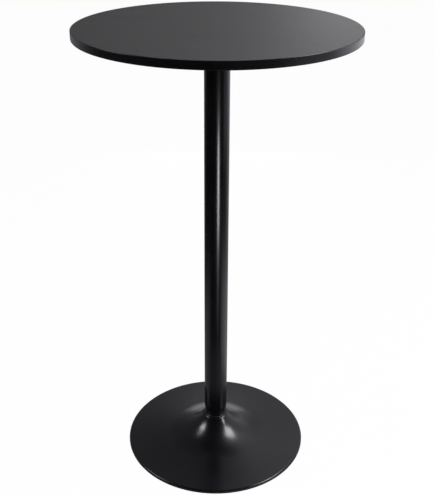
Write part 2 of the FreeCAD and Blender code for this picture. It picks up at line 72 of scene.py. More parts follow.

# The painted patches of light on the floor, which glow only in reflections: where each lies from the foot,
# rightwards and backwards, the cosines to that direction where it starts and is full, and its ramps over the
# distance from the foot in metres.
FLOOR_PAINTED_LIGHT_PATCHES = {
    "front": {
        "right": 0.31, "back": -0.95, "cosines": (0.985, 0.999),
        "ramps": [(0.45, 0.95, 0.0, 1.0), (1.5, 2.5, 1.0, 0.0)],
    },
    "behind": {
        "right": 0.0, "back": 1.0, "cosines": (0.93, 0.985),
        "ramps": [(0.25, 0.7, 0.6, 1.0)],
    },
    "left": {
        "right": -0.92, "back": 0.4, "cosines": (0.35, 0.75),
        "ramps": [(0.55, 1.3, 0.31, 0.0)],
    },
    "far_left": {
        "right": -0.5, "back": 0.866, "cosines": (0.6, 0.97),
        "ramps": [(2.0, 5.0, 0.1, 0.3)],
    },
    "right": {
        "right": 0.996, "back": 0.087, "cosines": (0.5, 0.95),
        "ramps": [(0.22, 0.4, 0.4, 1.0), (0.7, 1.4, 1.0, 0.1)],
    },
    "beside": {
        "right": 0.985, "back": -0.17, "cosines": (0.9, 0.99),
        "ramps": [(1.7, 2.8, 0.0, 0.7), (3.2, 5.0, 1.0, 0.0)],
    },
    "far_right": {
        "right": 0.64, "back": 0.768, "cosines": (0.5, 0.95),
        "ramps": [(0.4, 1.0, 0.0, 0.55)],
    },
    "beyond_far_right": {
        "right": 0.64, "back": 0.768, "cosines": (0.5, 0.95),
        "ramps": [(1.6, 4.0, 0.0, 0.6)],
    },
}

# The room, by the parts of the unit vector to a place in it: ramps of its dim light and of its pale wall.
# The wall's left end reaches furthest at one height. Above and below that it draws back and is sharper.
WHITE = (1.0, 1.0, 1.0)
ROOM_COLOUR = (0.93, 0.92, 1.0)
DIM_DEPTH_RAMP = (-0.15, 0.35, 0.04, 0.19)
DIM_HEIGHT_RAMP = (0.65, 0.8, 1.0, 0.78)
WALL_RISE_RAMP = (0.47, 0.76, 0.47, 1.0)
WALL_HEAD_RAMP = (0.8, 0.95, 1.0, 0.6)
WALL_RIGHT_RAMP = (0.35, 0.6, 0.0, 0.28)
WALL_DEPTH_RAMP = (-0.25, 0.1, 0.0, 1.0)
WALL_END = {
    "height": 0.47, "start": -0.37, "lean": 1.45, "width": 0.41, "narrowing": 1.25, "least_width": 0.04,
}
UNDER_FLOOR_RAMP = (-0.02, 0.0, 1.0, 0.0)

# The soft lamps, each a rectangle from its lower to its upper end. The ends are azimuths and elevations in
# degrees, or places in metres for the strip and the panel, which light one node each. The flagged lamps
# don't light the flagged node.
LAMP_COLOUR = (0.975, 0.975, 1.0)
LAMP_AIM = Vector((0.0, 0.0, 0.06))
LAMPS = {
    "right_softbox": {
        "low": (103, 36), "high": (98, 56), "distance": 3.0, "width": 1.3, "watts": 58.5,
    },
    "low_right_softbox": {
        "low": (119, 21), "high": (114, 28.5), "distance": 3.0, "width": 0.6, "watts": 13.0,
    },
    "left_softbox": {
        "low": (-100, 29.5), "high": (-97, 39), "distance": 3.0, "width": 1.1, "watts": 20.5,
    },
    "high_left_softbox": {
        "low": (-97, 39), "high": (-101, 48), "distance": 3.0, "width": 1.1, "watts": 7.5,
    },
    "low_back_panel": {
        "low": (-0.2, -1.4), "high": (-0.2, 17), "distance": 2.2, "width": 0.99, "watts": 2.55,
    },
}
FLAGGED_LAMPS = ("right_softbox", "low_right_softbox")
FLAGGED_NODE = "column_tube"
COLUMN_STRIP = {"low": (0.24, -0.77, 0.22), "high": (0.2, -0.77, 0.57), "width": 0.2, "watts": 2.75}
COLUMN_STRIP_NODES = ("column_tube",)
TOP_PANEL = {"low": (1.0, 2.83, 1.2), "high": (0.92, 2.62, 2.15), "width": 1.1, "watts": 5.4}
TOP_PANEL_NODES = ("top_laminate",)

# Two colours of each finish, between which it varies, and the colours of the spots on them.
LAMINATE_COLOURS = ((0.0174, 0.0173, 0.016), (0.0224, 0.0223, 0.0207))
BOARD_COLOURS = ((0.36, 0.25, 0.15), (0.58, 0.44, 0.29))
EDGE_STRIP_COLOURS = ((0.005, 0.005, 0.006), (0.007, 0.007, 0.0084))
EDGE_JOINT_COLOUR = (0.001, 0.001, 0.001)
POWDER_COAT_COLOURS = ((0.0025, 0.0025, 0.0032), (0.004, 0.004, 0.005))
NIB_COLOUR = (0.06, 0.06, 0.06)
ZINC_COLOURS = ((0.6, 0.61, 0.62), (0.66, 0.63, 0.54))
BUSH_COLOURS = ((0.004, 0.004, 0.0045), (0.007, 0.007, 0.0078))
RUBBER_COLOURS = ((0.005, 0.005, 0.0055), (0.008, 0.008, 0.0085))
DUST_COLOUR = (0.05, 0.05, 0.048)

# The range that most of a noise lies in, and the share of a speck's radius that is its core.
NOISE_RANGE = (0.3, 0.7)
SPECK_CORE_SHARE = 0.6

# The spun base, in millimetres. Its slopes are rise over run under the lip, after the flare and at the rim.
SHELL = {
    "bore": 53.2, "lip_land": 0.9, "lip": 5.0, "flare": 120.0, "rim": 3.5, "rim_height": 6.5, "wall": 1.5,
}
SHELL_SLOPES = (1.576, 0.105, 0.044)
SHELL_ARC_ROWS = 24
SHELL_COLUMNS = 240

# The edge strip of the top, in millimetres.
BAND = {"thickness": 2.0, "round": 1.0, "flat_margin": 0.3}
BAND_ROUND_ROWS = 19
BAND_COLUMNS = 360

# The fastenings and welds, in millimetres.
BOLT = {
    "across_flats": 17.0, "head": 6.4, "face": 16.1, "washer_face": 16.4, "washer_face_step": 0.4,
    "thread": 10.0, "pitch": 1.5, "tip": 1.0,
}
SCREW = {
    "across": 11.0, "head": 3.3, "edge": 0.8, "crown": 5.8, "socket": 4.0, "socket_depth": 2.0,
    "socket_lead": 0.2, "thread": 6.0, "pitch": 1.0, "tip": 0.8,
}
THREAD_DEPTH_SHARE = 0.61
THREAD_FLAT_SHARE = 0.12
THREAD_ROWS_PER_TURN = 8
HEAD_CHAMFER_SLOPE = math.tan(math.radians(30))
ROUND_COLUMNS = 72
DOME_ROWS = 9
CHAMFER_ROWS = 12
WASHER_SLIT = 1.5
WASHER_BORE = 11.0
WASHER_SLANT = 0.5
WASHER_SQUARENESS = 0.3
WASHER_STEPS = 72
WASHER_SECTION_POINTS = 24
PLATE_WELD_RIPPLES = 64
BRIDGE_WELD_COUNT = 6
BRIDGE_WELD_TURN = math.radians(18)
BRIDGE_WELD_RIPPLES = 17
BRIDGE_WELD_FALL = math.radians(5.12)
WELD_ROWS_PER_RIPPLE = 8
WELD_COLUMNS = 10
WELD_SWELL_SHARE = 0.12
WELD_RIPPLE_SHARE = 0.1
WELD_LEAD_SHARE = 0.7
WELD_END_SHARE = 0.35
WELD_END_POWER = 8
SHARP_ANGLE = math.radians(35)

# The butt joint of the edge strip, in metres: at the back of the top, a little left of the middle.
EDGE_JOINT_X = -0.036
EDGE_JOINT_HALF_WIDTH = 0.0002
EDGE_JOINT_BACK_RAMP = (0.0, 0.01, 0.0, 1.0)


class Value:
    """One socket of a node tree, for use in expressions: every operator adds a Math node."""

    def __init__(self, tree, socket):
        self.tree = tree
        self.socket = socket

    def other(self, output):
        """Another output of the same node."""
        return Value(self.tree, self.socket.node.outputs[output])

    def _math(self, operation, first, second):
        """A Math node of that operation."""
        return self.tree.add("ShaderNodeMath", {"operation": operation}, {0: first, 1: second})

    def __add__(self, other):
        return self._math("ADD", self, other)

    def __radd__(self, other):
        return self._math("ADD", other, self)

    def __sub__(self, other):
        return self._math("SUBTRACT", self, other)

    def __rsub__(self, other):
        return self._math("SUBTRACT", other, self)

    def __mul__(self, other):
        return self._math("MULTIPLY", self, other)

    def __rmul__(self, other):
        return self._math("MULTIPLY", other, self)

    def __truediv__(self, other):
        return self._math("DIVIDE", self, other)

    def __rtruediv__(self, other):
        return self._math("DIVIDE", other, self)

    def __abs__(self):
        return self._math("ABSOLUTE", self, 0.0)


class Tree:
    """A node tree, of a material or of the world, that is filled by calls."""

    def __init__(self, owner):
        owner.use_nodes = True
        self.nodes = owner.node_tree.nodes
        self.links = owner.node_tree.links
        self.nodes.clear()

    def add(self, kind, settings=None, inputs=None, output=0):
        """Adds a node of that kind, sets its settings, fills its sockets and returns one output."""
        node = self.nodes.new(kind)
        for name, setting in (settings or {}).items():
            setattr(node, name, setting)
        for name, given in (inputs or {}).items():
            if isinstance(given, Value):
                self.links.new(given.socket, node.inputs[name])
            else:
                node.inputs[name].default_value = given
        if len(node.outputs) == 0:
            return None
        return Value(self, node.outputs[output])

    def place(self):
        """Object coordinates, in metres."""
        return self.add("ShaderNodeTexCoord", output="Object")

    def parts(self, vector):
        """The X part of a vector; its other parts are the other outputs Y and Z."""
        return self.add("ShaderNodeSeparateXYZ", None, {"Vector": vector})

    def stretched(self, vector, factors):
        """The vector with each part multiplied by its own factor."""
        return self.add("ShaderNodeVectorMath", {"operation": "MULTIPLY"}, {0: vector, 1: factors})

    def length(self, vector):
        """The length of a vector."""
        return self.add("ShaderNodeVectorMath", {"operation": "LENGTH"}, {0: vector}, output="Value")

    def largest(self, first, *others):
        """The largest of several values."""
        for other in others:
            first = self.add("ShaderNodeMath", {"operation": "MAXIMUM"}, {0: first, 1: other})
        return first

    def noise(self, where, per_metre, detail=2.0):
        """A soft random value from 0 to 1, with so many features to the metre, or a number for each axis."""
        if isinstance(per_metre, tuple):
            where, per_metre = self.stretched(where, per_metre), 1.0
        return self.add("ShaderNodeTexNoise", None, {"Vector": where, "Scale": per_metre, "Detail": detail})

    def specks(self, where, per_metre, size_share):
        """1 in small round spots scattered at random, and 0 elsewhere."""
        distance = self.add("ShaderNodeTexVoronoi", None, {"Vector": where, "Scale": per_metre})
        return self.between(distance, SPECK_CORE_SHARE * size_share, size_share, 1.0, 0.0)

    def between(self, value, low, high, to_low, to_high):
        """The value's range from low to high carried over to another range, with soft ends."""
        settings = {"interpolation_type": "SMOOTHSTEP"}
        inputs = {"Value": value, "From Min": low, "From Max": high, "To Min": to_low, "To Max": to_high}
        return self.add("ShaderNodeMapRange", settings, inputs)

    def spread(self, noise, to_low, to_high):
        """The range that most of a noise lies in carried over to another range."""
        return self.between(noise, *NOISE_RANGE, to_low, to_high)

    def mix_colour(self, share, first, second):
        """The first colour where share is 0, and the second where it is 1."""
        ends = [colour if isinstance(colour, Value) else (*colour, 1.0) for colour in (first, second)]
        return self.add("ShaderNodeMix", {"data_type": "RGBA"}, {0: share, 6: ends[0], 7: ends[1]}, output=2)

    def bump(self, height, depth):
        """A normal from a height, where a height of 1 stands for that depth in metres."""
        return self.add("ShaderNodeBump", None, {"Height": height, "Distance": depth})

    def surface(self, **sockets):
        """The Principled shader with these sockets, on the material's output."""
        inputs = {name.replace("_", " "): given for name, given in sockets.items()}
        shader = self.add("ShaderNodeBsdfPrincipled", None, inputs)
        self.add("ShaderNodeOutputMaterial", None, {"Surface": shader})


def new_finish(name):
    """An empty material and its node tree."""
    material = bpy.data.materials.new(name)
    return material, Tree(material)


def black_laminate():
    """Matte black laminate: a fine pebble grain, faint clouds and the drift of a wiped surface."""
    material, tree = new_finish("black_laminate")
    where = tree.place()
    pebble = tree.noise(where, per_metre=1500.0)
    cloud = tree.noise(where, per_metre=5.0, detail=3.0)
    wiped = tree.noise(where, per_metre=(3.0, 22.0, 1.0))
    tone = 0.5 * pebble + 0.5 * cloud
    tree.surface(
        Base_Color=tree.mix_colour(tone, *LAMINATE_COLOURS),
        Roughness=0.44 + 0.05 * cloud + 0.05 * wiped + 0.03 * pebble,
        Normal=tree.bump(pebble, depth=0.000012),
    )
    return material


def raw_fibreboard():
    """Raw fibreboard: short fibres laid flat, in warm browns, with darker chips."""
    material, tree = new_finish("raw_fibreboard")
    where = tree.place()
    fibre = tree.noise(where, per_metre=(260.0, 420.0, 1600.0), detail=3.0)
    chips = tree.noise(where, per_metre=240.0)
    tone = tree.between(0.7 * fibre + 0.3 * chips, low=0.35, high=0.65, to_low=0.0, to_high=1.0)
    tree.surface(
        Base_Color=tree.mix_colour(tone, *BOARD_COLOURS),
        Roughness=tree.spread(fibre, to_low=0.72, to_high=0.88),
        Normal=tree.bump(fibre, depth=0.00004),
    )
    return material


def black_edge_strip():
    """Satin black edge strip: fine lines along its length and one butt joint at the back."""
    material, tree = new_finish("black_edge_strip")
    where = tree.place()
    lines = tree.noise(where, per_metre=(14.0, 14.0, 2600.0))
    cloud = tree.noise(where, per_metre=14.0)
    x = tree.parts(where)
    off_joint = abs(x - EDGE_JOINT_X)
    joint = tree.between(off_joint, 0.5 * EDGE_JOINT_HALF_WIDTH, EDGE_JOINT_HALF_WIDTH, 1.0, 0.0)
    joint = joint * tree.between(x.other("Y"), *EDGE_JOINT_BACK_RAMP)
    tone = 0.6 * lines + 0.4 * cloud
    plain = tree.mix_colour(tone, *EDGE_STRIP_COLOURS)
    tree.surface(
        Base_Color=tree.mix_colour(joint, plain, EDGE_JOINT_COLOUR),
        Roughness=tree.spread(tone, to_low=0.24, to_high=0.3) + 0.3 * joint,
        Normal=tree.bump(lines - 8.0 * joint, depth=0.000006),
    )
    return material


def black_powder_coat():
    """Semi-gloss black powder coat: orange peel, a slow drift of gloss and a few dust nibs.

    On faces that look down, the rings that spinning leaves in the steel show through.
    """
    material, tree = new_finish("black_powder_coat")
    where = tree.place()
    peel = tree.noise(where, per_metre=420.0, detail=1.0)
    drift = tree.noise(where, per_metre=9.0, detail=3.0)
    nib = tree.specks(where, per_metre=44.0, size_share=0.028)
    from_axis = tree.length(tree.stretched(where, (1.0, 1.0, 0.0)))
    ring_place = tree.add("ShaderNodeCombineXYZ", None, {"X": from_axis})
    rings = tree.noise(ring_place, per_metre=500.0)
    upward_part = tree.parts(tree.add("ShaderNodeNewGeometry", output="Normal")).other("Z")
    downward = tree.between(upward_part, low=-0.3, high=-0.1, to_low=1.0, to_high=0.0)
    plain = tree.mix_colour(drift, *POWDER_COAT_COLOURS)
    tree.surface(
        Base_Color=tree.mix_colour(0.5 * nib, plain, NIB_COLOUR),
        Roughness=tree.spread(drift, to_low=0.21, to_high=0.26) + 0.12 * downward + 0.2 * nib,
        Normal=tree.bump(peel + 2.5 * downward * rings + 4.0 * nib, depth=0.000008),
    )
    return material


def zinc_plate():
    """Zinc-plated steel: a cool grey with a faint yellow bloom, drawn lines and dull patches."""
    material, tree = new_finish("zinc_plate")
    where = tree.place()
    bloom = tree.noise(where, per_metre=110.0, detail=3.0)
    fine = tree.noise(where, per_metre=1600.0)
    drawn = tree.noise(where, per_metre=(300.0, 300.0, 4000.0))
    yellowed = tree.between(bloom, low=0.35, high=0.7, to_low=0.0, to_high=1.0)
    tree.surface(
        Base_Color=tree.mix_colour(yellowed, *ZINC_COLOURS),
        Metallic=1.0,
        Roughness=0.22 + 0.14 * bloom + 0.08 * drawn,
        Normal=tree.bump(fine + drawn, depth=0.000005),
    )
    return material


def moulded_black_plastic():
    """Moulded black plastic: a fine spark-eroded grain and a soft sheen."""
    material, tree = new_finish("moulded_black_plastic")
    where = tree.place()
    grain = tree.noise(where, per_metre=1400.0)
    cloud = tree.noise(where, per_metre=40.0)
    tree.surface(
        Base_Color=tree.mix_colour(0.5 * grain + 0.5 * cloud, *BUSH_COLOURS),
        Roughness=tree.spread(cloud, to_low=0.3, to_high=0.38),
        Normal=tree.bump(grain, depth=0.00001),
    )
    return material


def black_rubber():
    """Soft black edging: dull, finely pitted and a little dusty where it meets the floor."""
    material, tree = new_finish("black_rubber")
    where = tree.place()
    pits = tree.noise(where, per_metre=1100.0, detail=3.0)
    dust = tree.noise(where, per_metre=160.0, detail=3.0)
    near_floor = tree.between(tree.parts(where).other("Z"), low=0.0, high=0.0015, to_low=1.0, to_high=0.0)
    plain = tree.mix_colour(pits, *RUBBER_COLOURS)
    tree.surface(
        Base_Color=tree.mix_colour(0.4 * near_floor * dust, plain, DUST_COLOUR),
        Roughness=tree.spread(pits, to_low=0.55, to_high=0.68),
        Normal=tree.bump(pits, depth=0.00002),
    )
    return material


FINISHES = {
    "laminate": black_laminate(),
    "board": raw_fibreboard(),
    "edge_strip": black_edge_strip(),
    "powder_coat": black_powder_coat(),
    "plated_steel": zinc_plate(),
    "bush_plastic": moulded_black_plastic(),
    "floor_rubber": black_rubber(),
}
SLOT_OF_NODE = {subpart["node"]: subpart["material_slot"] for subpart in frame["record"]["subparts"]}
for node_name, slot_name in SLOT_OF_NODE.items():
    NODES[node_name].data.materials.clear()
    NODES[node_name].data.materials.append(FINISHES[slot_name])


def grid_faces(rows, columns, close_rows):
    """Faces of a grid of points whose columns close on themselves, and its rows too if asked."""
    row = np.arange(rows if close_rows else rows - 1)[:, None]
    column = np.arange(columns)[None, :]
    next_row = (row + 1) % rows
    next_column = (column + 1) % columns
    corners = (row * columns + column, row * columns + next_column,
               next_row * columns + next_column, next_row * columns + column)
    return np.stack(corners, axis=-1).reshape(-1, 4).tolist()


def closed_solid(points, close_rows=False):
    """A grid of points as a closed solid: where its rows are open, a flat face closes each end."""
    rows, columns = points.shape[:2]
    faces = grid_faces(rows, columns, close_rows)
    if not close_rows:
        faces.append(list(range(columns))[::-1])
        faces.append(list(range((rows - 1) * columns, rows * columns)))
    return points.reshape(-1, 3), faces


def add_piece(name, node, solids):
    """One piece of closed solids, in metres, that stands for a CAD node and takes its finish."""
    starts = np.cumsum([0] + [len(points) for points, faces in solids])
    points = np.concatenate([points for points, faces in solids])
    faces = [[start + corner for corner in face] for start, (_, part) in zip(starts, solids) for face in part]
    mesh = bpy.data.meshes.new(name)
    mesh.from_pydata(points.tolist(), [], faces)
    mesh.polygons.foreach_set("use_smooth", np.ones(len(faces), dtype=bool))
    mesh.set_sharp_from_angle(angle=SHARP_ANGLE)
    mesh.materials.append(FINISHES[SLOT_OF_NODE[node]])
    piece = bpy.data.objects.new(name, mesh)
    bpy.context.scene.collection.objects.link(piece)
    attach(piece, "root")
    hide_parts(node)


ROUND = np.linspace(0.0, 2 * math.pi, ROUND_COLUMNS, endpoint=False)


def hexagon(across_flats):
    """A hexagon's radius at each angle: half its width over the cosine of the angle from a flat's middle."""
    return across_flats / 2 / np.cos(ROUND % (math.pi / 3) - math.pi / 6)


def turned(rows, angles=ROUND):
    """Points round the upright axis: each row has a radius and a height, alike all round or one an angle."""
    radius = np.stack([np.broadcast_to(row[0], angles.shape) for row in rows])
    height = np.stack([np.broadcast_to(row[1], angles.shape) for row in rows])
    return np.stack((radius * np.cos(angles), radius * np.sin(angles), height), axis=-1)


def facing(slope):
    """The unit vector square to a slope, as far outwards as its sine and as far upwards as its cosine."""
    return np.stack((np.sin(slope), np.cos(slope)), axis=-1)


def base_shell():
    """The spun base, one wall turned round the axis: a convex lip, a concave flare and dish and a convex rim.

    A point of an arc is the arc's centre plus its radius times the facing, or less it where the arc is
    concave. Arcs that meet have one slope there. The inside is the outside moved back along the facing by
    the wall.
    """
    low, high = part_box("base_shell")
    foot = low.z / MM
    edge = high.x / MM
    under_lip, after_flare, at_rim = np.arctan(SHELL_SLOPES)
    upright = math.pi / 2
    rim_centre = np.array((edge - SHELL["rim"], SHELL["rim_height"] - SHELL["rim"]))
    dish_end = rim_centre + SHELL["rim"] * facing(at_rim)
    lip_radius = SHELL["bore"] / 2 + SHELL["lip_land"]
    flare_end_radius = lip_radius + (SHELL["lip"] + SHELL["flare"]) * math.sin(under_lip)
    flare_end_radius -= SHELL["flare"] * math.sin(after_flare)
    dish = (dish_end[0] - flare_end_radius) / (math.sin(after_flare) - math.sin(at_rim))
    dish_centre = dish_end + dish * facing(at_rim)
    flare_centre = dish_centre - (dish - SHELL["flare"]) * facing(after_flare)
    lip_centre = flare_centre - (SHELL["flare"] + SHELL["lip"]) * facing(under_lip)
    arcs = (
        (lip_centre, SHELL["lip"], 0.0, under_lip),
        (flare_centre, -SHELL["flare"], under_lip, after_flare),
        (dish_centre, -dish, after_flare, at_rim),
        (rim_centre, SHELL["rim"], at_rim, upright),
    )
    slopes = [np.linspace(start, end, SHELL_ARC_ROWS, endpoint=False) for _, _, start, end in arcs]
    outside = [centre + radius * facing(slope) for (centre, radius, _, _), slope in zip(arcs, slopes)]
    bore = (SHELL["bore"] / 2, lip_centre[1] + SHELL["lip"])
    outside = np.concatenate(([bore], *outside, [(edge, rim_centre[1]), (edge, foot)]))
    outwards = facing(np.concatenate(([0.0], *slopes, [upright, upright])))
    section = np.concatenate((outside[::-1], outside - SHELL["wall"] * outwards))
    angles = np.linspace(0.0, 2 * math.pi, SHELL_COLUMNS, endpoint=False)
    add_piece("spun_base_shell", "base_shell", [closed_solid(MM * turned(section, angles), close_rows=True)])


def edge_band():
    """The edge strip, turned round the axis: a flat strip with a quarter circle at each outer corner."""
    low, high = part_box("edge_band")
    edge = high.x / MM
    foot, head = low.z / MM, high.z / MM
    inner = edge - BAND["thickness"]
    corner = BAND["round"]
    sweep = np.linspace(0.0, math.pi / 2, BAND_ROUND_ROWS)
    out = edge - corner + corner * np.cos(sweep)
    rise = corner * np.sin(sweep) - corner
    margin = corner + BAND["flat_margin"]
    upper = np.stack((out, head + rise), axis=-1)
    lower = np.stack((out, foot - rise), axis=-1)[::-1]
    side = [(edge, foot + margin), (edge, head - margin)]
    back = [(inner, head), (inner, foot)]
    section = np.concatenate((lower, side, upper, back))
    angles = np.linspace(0.0, 2 * math.pi, BAND_COLUMNS, endpoint=False)
    add_piece("rounded_edge_band", "edge_band", [closed_solid(MM * turned(section, angles), close_rows=True)])


def thread_rows(across, pitch, low, high):
    """Rows of a screw thread: a triangle wave with flats, whose phase is turns of height less turns of angle.

    Its depth grows from nothing over the first pitch and fades over the last.
    """
    depth = THREAD_DEPTH_SHARE * pitch
    heights = np.linspace(low, high, round((high - low) / pitch * THREAD_ROWS_PER_TURN) + 1)
    phase = heights[:, None] / pitch - ROUND / (2 * math.pi)
    wave = np.abs(2 * (phase % 1) - 1)
    ridge = np.clip((wave - THREAD_FLAT_SHARE) / (1 - 2 * THREAD_FLAT_SHARE), 0, 1)
    grown = np.clip((heights - low) / pitch, 0, 1) * np.clip((high - heights) / pitch, 0, 1)
    radius = across / 2 - depth * (1 - ridge * grown[:, None])
    return list(zip(radius, heights))


def base_bolt():
    """The bolt from below: a hexagon head with a turned chamfer, a washer face, a thread and a tip."""
    low, high = (corner.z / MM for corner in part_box("base_bolt"))
    seat = low + BOLT["head"]
    flats = hexagon(BOLT["across_flats"])
    face = BOLT["face"] / 2
    cone = np.linspace(face, flats.max(), CHAMFER_ROWS)
    rows = [(np.minimum(flats, limit), low + (limit - face) * HEAD_CHAMFER_SLOPE) for limit in cone]
    step = seat - BOLT["washer_face_step"]
    rows += [(flats, step), (BOLT["washer_face"] / 2, step), (BOLT["washer_face"] / 2, seat)]
    rows += thread_rows(BOLT["thread"], BOLT["pitch"], seat, high - BOLT["tip"])
    rows.append((BOLT["thread"] / 2 - THREAD_DEPTH_SHARE * BOLT["pitch"] - BOLT["tip"] / 2, high))
    add_piece("threaded_base_bolt", "base_bolt", [closed_solid(MM * turned(rows))])


def plate_screws():
    """Four screws: a domed head, a quarter of an ellipse in section, with a hexagon socket, and a thread."""
    corner_low, corner_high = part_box("plate_screws")
    low, high = corner_low.z / MM, corner_high.z / MM
    seat = low + SCREW["head"]
    socket = hexagon(SCREW["socket"])
    lead = np.maximum(socket, SCREW["socket"] / 2 + SCREW["socket_lead"])
    rows = [(socket, low + SCREW["socket_depth"]), (socket, low + SCREW["socket_lead"]), (lead, low)]
    sweep = np.linspace(0.0, math.pi / 2, DOME_ROWS)
    crown, edge = SCREW["crown"] / 2, SCREW["across"] / 2
    dome_radius = crown + (edge - crown) * np.sin(sweep)
    dome_height = low + (SCREW["head"] - SCREW["edge"]) * (1 - np.cos(sweep))
    rows += list(zip(dome_radius, dome_height))
    rows.append((edge, seat))
    rows += thread_rows(SCREW["thread"], SCREW["pitch"], seat, high - SCREW["tip"])
    rows.append((SCREW["thread"] / 2 - THREAD_DEPTH_SHARE * SCREW["pitch"] - SCREW["tip"] / 2, high))
    points, faces = closed_solid(MM * turned(rows))
    reach = corner_high.x - MM * edge
    places = [(across * reach, along * reach, 0.0) for across in (-1, 1) for along in (-1, 1)]
    screws = [(points + np.array(place), faces) for place in places]
    add_piece("threaded_plate_screws", "plate_screws", screws)


def lock_washer():
    """The split washer: a squared ellipse carried round the axis, cut through on a slant."""
    low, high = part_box("lock_washer")
    bore, rim = MM * WASHER_BORE / 2, high.y
    around = np.linspace(0.0, 2 * math.pi, WASHER_SECTION_POINTS, endpoint=False)
    out = np.sign(np.cos(around)) * np.abs(np.cos(around)) ** WASHER_SQUARENESS
    up = np.sign(np.sin(around)) * np.abs(np.sin(around)) ** WASHER_SQUARENESS
    radius = (bore + rim) / 2 + (rim - bore) / 2 * out
    height = (high.z - low.z) / 2 * up
    half_slit = MM * WASHER_SLIT / 2 / radius
    along = np.linspace(0.0, 1.0, WASHER_STEPS)[:, None]
    angle = half_slit + along * (2 * math.pi - 2 * half_slit) + WASHER_SLANT * height / radius
    level = np.broadcast_to((low.z + high.z) / 2 + height, angle.shape)
    points = np.stack((radius * np.cos(angle), radius * np.sin(angle), level), axis=-1)
    add_piece("split_lock_washer", "lock_washer", [closed_solid(points[::-1])])


def weld_bead(radius, height, leg, fall, start, turn, ripples):
    """A fillet weld in a corner that runs round the upright axis, a whole turn or a part of one.

    Across the bead, an angle goes from the leg that runs outwards, falling by an angle, to the leg that runs
    down. The distance from the corner is the straight fillet's, swollen by the sine of twice that angle and
    scalloped by the size of a sine along the bead, which leads at the middle. A short bead's ends close in.
    """
    whole = turn == 2 * math.pi
    rows = ripples * WELD_ROWS_PER_RIPPLE
    along = np.linspace(0.0, 1.0, rows, endpoint=not whole)[:, None]
    across = np.linspace(0.0, math.pi / 2, WELD_COLUMNS)
    bulge = np.sin(2 * across)
    scallop = np.abs(np.sin(math.pi * (ripples * along + WELD_LEAD_SHARE * bulge)))
    reach = leg * (1 + WELD_SWELL_SHARE * bulge) / (np.cos(across) + np.sin(across))
    reach = reach * (1 - WELD_RIPPLE_SHARE * (1 - scallop))
    if not whole:
        end_shape = np.sqrt(1 - np.abs(2 * along - 1) ** WELD_END_POWER)
        reach = reach * (WELD_END_SHARE + (1 - WELD_END_SHARE) * end_shape)
    out = np.append(reach * np.cos(across + fall), np.zeros((rows, 1)), axis=1)
    down = np.append(reach * np.sin(across + fall), np.zeros((rows, 1)), axis=1)
    angle = start + turn * along
    out = radius + out
    points = np.stack((out * np.cos(angle), out * np.sin(angle), height - down), axis=-1)
    return closed_solid(points, close_rows=whole)


def plate_weld():
    """The bead all round the column under its plate."""
    low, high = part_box("plate_weld")
    leg = high.z - low.z
    bead = weld_bead(high.x - leg, high.z, leg, 0.0, 0.0, 2 * math.pi, PLATE_WELD_RIPPLES)
    add_piece("rippled_plate_weld", "plate_weld", [bead])


def bridge_welds():
    """The short beads between the edge of the bridge and the underside of the base."""
    low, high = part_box("bridge_welds")
    leg = (high.z - low.z) / math.cos(BRIDGE_WELD_FALL)
    radius = high.x - leg * math.cos(BRIDGE_WELD_FALL)
    starts = np.arange(BRIDGE_WELD_COUNT) * 2 * math.pi / BRIDGE_WELD_COUNT
    beads = [
        weld_bead(radius, high.z, leg, BRIDGE_WELD_FALL, start, BRIDGE_WELD_TURN, BRIDGE_WELD_RIPPLES)
        for start in starts
    ]
    add_piece("rippled_bridge_welds", "bridge_welds", beads)


def floor_finish():
    """Pale floor: white to the eye, and in reflections a painted glow in patches, standing in for a floor
    among soft lamps.

    The patches are round the foot, before it, on both sides and further off behind it, and the brightest one
    counts. Near the foot the glow is dim, as painted shade. From below the floor is open.
    """
    material, tree = new_finish("pale_floor")
    seen = tree.add("ShaderNodeLightPath", output="Is Camera Ray")
    mirrored = seen.other("Is Glossy Ray") + seen.other("Is Transmission Ray")
    where = tree.place()
    x = tree.parts(where)
    y = x.other("Y")
    reach = tree.length(where)

    def painted_patch_light(right, back, cosines, ramps):
        """The painted light of one patch: the cosine to its direction carried from 0 to 1, times its ramps
        over the distance.
        """
        value = tree.between((right * x + back * y) / reach, *cosines, 0.0, 1.0)
        for ramp in ramps:
            value = value * tree.between(reach, *ramp)
        return value

    # Each patch is painted light: a glow on the floor that only reflections show.
    light = {name: painted_patch_light(**patch) for name, patch in FLOOR_PAINTED_LIGHT_PATCHES.items()}
    light["left"] = light["left"] * tree.between(y, *FLOOR_LEFT_DEPTH_RAMP)
    light["far_right"] = light["far_right"] + light.pop("beyond_far_right")
    # Painted shade: close to the foot the reflected floor is only a dim glow, and the patches' ramps rise
    # away from it.
    foot = tree.between(reach, *FLOOR_FOOT_RAMP) * tree.between(x / reach, *FLOOR_FOOT_SIDE_RAMP)
    patches = tree.largest(foot, *light.values())
    lit = tree.add("ShaderNodeBsdfDiffuse", None, {"Color": (*FLOOR_COLOUR, 1.0)})
    colour = tree.mix_colour(seen, ROOM_COLOUR, WHITE)
    # The floor glows evenly white to the eye. In reflections it glows with the painted patches, in the room's
    # tint.
    white = tree.add("ShaderNodeEmission", None, {"Color": colour, "Strength": seen + mirrored * patches})
    share = FLOOR_WHITE_SHARE * seen + mirrored
    shown = tree.add("ShaderNodeMixShader", None, {0: share, 1: lit, 2: white})
    below = tree.add("ShaderNodeNewGeometry", output="Backfacing")
    open_below = tree.add("ShaderNodeBsdfTransparent")
    one_sided = tree.add("ShaderNodeMixShader", None, {0: below, 1: shown, 2: open_below})
    tree.add("ShaderNodeOutputMaterial", None, {"Surface": one_sided})
    return material


